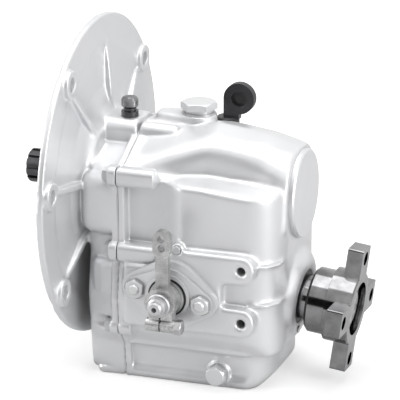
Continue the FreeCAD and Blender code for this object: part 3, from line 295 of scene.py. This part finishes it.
nodes_with = {
    "painted": ["housing_gasket", "front_housing", "rear_housing", "rear_cover", "shift_cover",
                "seal_carrier"],
    "fastener_paint": ["joint_bolts", "shift_cover_nuts", "shift_cover_studs", "side_plug",
                       "drain_plug", "filler_plug"],
    "bright": ["output_shaft", "output_flange_nut", "ahead_steel_discs", "astern_steel_discs",
               "lever_clamp_bolt", "dipstick_blade", "boss_plug"],
    "polished": ["output_flange", "breather_cap"],
    "lever": ["shift_lever"],
    "shift": ["shift_shaft"],
    "dark": ["input_shaft", "input_circlip", "breather_body", "carrier_screws"],
    "gear": ["input_front_bearing", "input_rear_bearing", "output_front_bearing",
             "output_rear_bearing", "ahead_gear", "astern_gear", "shift_sleeve", "idler_gear",
             "idler_shaft"],
    "bronze": ["ahead_gear_bush", "astern_gear_bush", "ahead_friction_discs",
               "astern_friction_discs", "idler_bush"],
    "rubber": ["input_seal", "output_seal", "shift_seal"],
    "gasket": ["shift_cover_gasket"],
    "aluminium": ["drain_washer", "filler_washer"],
    "plastic": ["dipstick_grip"],
}
for look, nodes in nodes_with.items():
    for node in nodes:
        data = frame["nodes"][node].data
        data.materials.clear()
        data.materials.append(looks[look])


# Castings: the frame's solids with their corners blended, as a mould leaves them
def swelling(rings, power=6.0):
    """Closed rounded body along X; rings are (x, y, z, half width, half height) in mm."""
    points, faces = [], []
    for x, y, z, wide, high in rings:
        for k in range(RING_POINTS):
            angle = 2 * math.pi * k / RING_POINTS
            c, s = math.cos(angle), math.sin(angle)
            points.append((x * MM, (y + wide * math.copysign(abs(c) ** (2 / power), c)) * MM,
                           (z + high * math.copysign(abs(s) ** (2 / power), s)) * MM))
    for ring in range(len(rings) - 1):
        start = ring * RING_POINTS
        for k in range(RING_POINTS):
            a, b = start + k, start + (k + 1) % RING_POINTS
            faces.append((a, b, b + RING_POINTS, a + RING_POINTS))
    faces.append(tuple(range(RING_POINTS))[::-1])
    faces.append(tuple(range(len(points) - RING_POINTS, len(points))))
    return points, faces


def apply_modifiers(piece):
    """Give the piece the mesh that its modifiers make."""
    evaluated = piece.evaluated_get(bpy.context.evaluated_depsgraph_get())
    mesh = bpy.data.meshes.new_from_object(evaluated)
    piece.modifiers.clear()
    piece.data = mesh


def evenly_meshed(node, extra):
    """Copy of a casting, joined with extra bodies, as one fine, even mesh."""
    mesh = frame["nodes"][node].data.copy()
    if extra:
        grown = bmesh.new()
        grown.from_mesh(mesh)
        for points, faces in extra:
            corners = [grown.verts.new(point) for point in points]
            for face in faces:
                grown.faces.new([corners[k] for k in face])
        bmesh.ops.recalc_face_normals(grown, faces=grown.faces)
        grown.to_mesh(mesh)
        grown.free()
    piece = new_object("cast_" + node, mesh)
    remesh = piece.modifiers.new("even", "REMESH")
    remesh.mode = "VOXEL"
    remesh.voxel_size = VOXEL
    apply_modifiers(piece)
    return piece


def tree_of(nodes):
    """Search tree over the faces of several nodes."""
    points, faces = [], []
    for node in nodes:
        data = frame["nodes"][node].data
        start = len(points)
        points += [vertex.co.copy() for vertex in data.vertices]
        faces += [[start + index for index in face.vertices] for face in data.polygons]
    return BVHTree.FromPolygons(points, faces)


def rising(values, low, high):
    """0 up to low, 1 from high on."""
    return np.clip((values - low) / (high - low), 0.0, 1.0)


def edges_of(mesh):
    """Both ends of every edge, and how many edges each vertex has."""
    edges = np.empty(len(mesh.edges) * 2, dtype=np.int32)
    mesh.edges.foreach_get("vertices", edges)
    first, second = edges.reshape(-1, 2).T
    return first, second, np.bincount(edges, minlength=len(mesh.vertices))


def places_of(mesh):
    places = np.empty(len(mesh.vertices) * 3)
    mesh.vertices.foreach_get("co", places)
    return places.reshape(-1, 3)


def neighbours_mean(values, first, second, degree):
    count = len(values)
    return (np.bincount(first, values[second], count)
            + np.bincount(second, values[first], count)) / degree


def averaged(values, edges):
    """Each value becomes the mean of its neighbours' and its own, round after round."""
    for _ in range(WALL_ROUNDS):
        values = 0.5 * (values + neighbours_mean(values, *edges))
    return values


def freedom(mesh, node, seated):
    """How far each vertex may be blended: not at seats, and little on thin ribs."""
    own, others = tree_of([node]), tree_of(seated)
    gap, wall = np.empty(len(mesh.vertices)), np.empty(len(mesh.vertices))
    for index, vertex in enumerate(mesh.vertices):
        gap[index] = others.find_nearest(vertex.co)[3]
        inside = vertex.co - vertex.normal * WALL_PROBE_MM * MM
        hit = own.ray_cast(inside, -vertex.normal)[3]
        wall[index] = FAR_AWAY if hit is None else hit
    edges = edges_of(mesh)
    first, second, _ = edges
    wall = averaged(np.minimum(wall, 2 * FULL_WALL), edges)
    for _ in range(WALL_ROUNDS):
        thinner = wall.copy()
        np.minimum.at(thinner, first, wall[second])
        np.minimum.at(thinner, second, wall[first])
        wall = thinner
    sturdy = rising(averaged(wall, edges), RIB_WALL, FULL_WALL)
    return rising(gap, SEAT_HELD, SEAT_FREE) * (RIB_FREEDOM + (1.0 - RIB_FREEDOM) * sturdy)


def blend(mesh, places, free, rounds):
    """Move each vertex toward the middle of its neighbours, round after round.

    Only the vertices that may move and their neighbours are worked on. Changes places too.
    """
    first, second, degree = edges_of(mesh)
    used = (free[first] > 0.0) | (free[second] > 0.0)
    first, second = first[used], second[used]
    touched = np.unique(np.concatenate((first, second)))
    order = np.full(len(places), -1)
    order[touched] = np.arange(len(touched))
    edges = order[first], order[second], degree[touched]
    points, share = places[touched], 0.5 * free[touched][:, None]
    for _ in range(rounds):
        middle = np.stack([neighbours_mean(part, *edges) for part in points.T], axis=1)
        points += share * (middle - points)
    places[touched] = points
    mesh.vertices.foreach_set("co", places.ravel())
    mesh.update()


def distance_to(line, points):
    """Distance from each point to a line of several corners."""
    nearest = np.full(len(points), FAR_AWAY)
    for start, end in zip(line[:-1], line[1:]):
        along = end - start
        share = np.clip((points - start) @ along / (along @ along), 0.0, 1.0)
        off = points - start - np.outer(share, along)
        nearest = np.minimum(nearest, np.linalg.norm(off, axis=1))
    return nearest


def cast_piece(node, seated, extra, soft):
    """The casting as it is seen, in place of its node."""
    piece = evenly_meshed(node, extra)
    free = freedom(piece.data, node, seated)
    places = places_of(piece.data)
    blend(piece.data, places, free, BLEND_ROUNDS)
    for line in soft:
        inside = SOFT_REACH - distance_to(line, places)
        blend(piece.data, places, free * rising(inside, 0.0, 0.5 * SOFT_REACH), SOFT_ROUNDS)
    fewer = piece.modifiers.new("fewer", "DECIMATE")
    fewer.ratio = min(1.0, CASTING_FACES / (2.0 * len(piece.data.polygons)))
    apply_modifiers(piece)
    piece.data.shade_smooth()
    piece.data.materials.clear()
    piece.data.materials.append(looks["painted"])
    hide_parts(node)
    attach(piece, "case")


# The front casting swells out behind the plate, round the input gears and lower round the
# output gears; the rear one has a small screw lug on its roof
input_bell = swelling([(6.0, 0, -6, 44, 17), (8.0, 0, -6, 52, 21), (11.0, 0, -6, 57, 23.5),
                       (16.0, 0, -6, 60, 25), (24.0, 0, -6, 61, 25.5), (36.0, 0, -6, 61, 25.5)])
output_bell = swelling([(12.0, 0, -62, 44, 12), (15.0, 0, -62, 52, 15), (19.0, 0, -62, 56, 17),
                        (25.0, 0, -62, 58.5, 17.5), (36.0, 0, -62, 60, 18)])
roof_lug = swelling([(41.0, -11, 39.5, 6.6, 6.6), (67.0, -11, 38.8, 6.6, 6.6),
                     (69.5, -11, 38.8, 5.4, 5.4)], power=2.0)
# Edges of the tunnel that the mould leaves broad
far_shoulder = np.array([(50, 48, 22), (70, 41, 32), (98, 32, 41), (136, 31.5, 37)]) * MM
near_shoulder = far_shoulder * (1, -1, 1)

cast_piece("front_housing", ["housing_gasket", "joint_bolts", "breather_body", "seal_carrier"],
           [input_bell, output_bell], [])
cast_piece("rear_housing", ["housing_gasket", "shift_cover_gasket", "shift_cover", "rear_cover",
                            "output_seal", "boss_plug", "filler_washer", "drain_washer",
                            "side_plug", "dipstick_grip"],
           [roof_lug], [near_shoulder, far_shoulder])

# Camera, lamps and the light of a pale room
camera_data = bpy.data.cameras.new("camera")
camera_data.sensor_width = SENSOR_MM
camera_data.lens = FOCAL_PX / IMAGE_PX * SENSOR_MM
camera_data.clip_end = CAMERA_REACH
camera = new_object("camera", camera_data)
camera.location = CAMERA_PLACE
camera.rotation_euler = (math.pi / 2 - VIEW_ELEVATION, 0.0, VIEW_AZIMUTH)
scene.camera = camera

for name, (place, size, watts) in LAMPS.items():
    lamp = bpy.data.lights.new(name, "AREA")
    lamp.shape = "RECTANGLE"
    lamp.size, lamp.size_y = size
    lamp.energy = watts
    light = new_object(name, lamp)
    light.location = place
    light.rotation_euler = (LAMP_TARGET - Vector(place)).to_track_quat("-Z", "Y").to_euler()


def seen_rays(tree, glossy_share):
    """1 for camera and transmission rays, glossy_share for glossy ones, 0 for the others."""
    rays = tree.nodes.new("ShaderNodeLightPath").outputs
    direct = math_node(tree, "MAXIMUM", rays["Is Camera Ray"], rays["Is Transmission Ray"])
    glossy = math_node(tree, "MULTIPLY", rays["Is Glossy Ray"], glossy_share)
    return math_node(tree, "MAXIMUM", direct, glossy)


world = bpy.data.worlds.new("studio")
scene.world = world
world.use_nodes = True
sky = world.node_tree
background = sky.nodes["Background"]
background.inputs["Strength"].default_value = 1.0
seen_white = mix_colour(sky, seen_rays(sky, 1.0), ROOM_LIGHT, WHITE)
sky.links.new(seen_white, background.inputs["Color"])


def flat_sheet(name, corners, material):
    """One square face, for the floor or a screen."""
    mesh = bpy.data.meshes.new(name)
    mesh.from_pydata(corners, [], [(0, 1, 2, 3)])
    mesh.materials.append(material)
    return new_object(name, mesh)


material, tree, shader, coordinates = new_material("pale_floor")
set_inputs(shader, {"Base Color": FLOOR_COLOUR, "Roughness": FLOOR_ROUGHNESS,
                    "Emission Color": WHITE})
spot = tree.nodes.new("ShaderNodeVectorMath")
spot.operation = "LENGTH"
tree.links.new(coordinates, spot.inputs[0])
glow = ramp(tree, spot.outputs["Value"], *FLOOR_FADE, *FLOOR_GLOW)
glow = math_node(tree, "MULTIPLY", seen_rays(tree, FLOOR_GLOSSY_SHARE), glow)
tree.links.new(glow, shader.inputs["Emission Strength"])
floor = flat_sheet("floor", [(x * FLOOR_HALF, y * FLOOR_HALF, FLOOR_Z)
                             for x, y in ((-1, -1), (1, -1), (1, 1), (-1, 1))], material)

# A dark screen in front, seen only in reflections, that gives the bright steel its contrast
material, _, shader, _ = new_material("black_cloth")
set_inputs(shader, {"Base Color": SCREEN_COLOUR, "Roughness": 1.0})
left, right = SCREEN_X
low, high = SCREEN_Z
screen = flat_sheet("dark_screen", [(left, SCREEN_Y, low), (right, SCREEN_Y, low),
                                    (right, SCREEN_Y, high), (left, SCREEN_Y, high)], material)
for ray in ("camera", "diffuse", "shadow", "transmission"):
    setattr(screen, "visible_" + ray, False)

scene.view_settings.view_transform = "Standard"
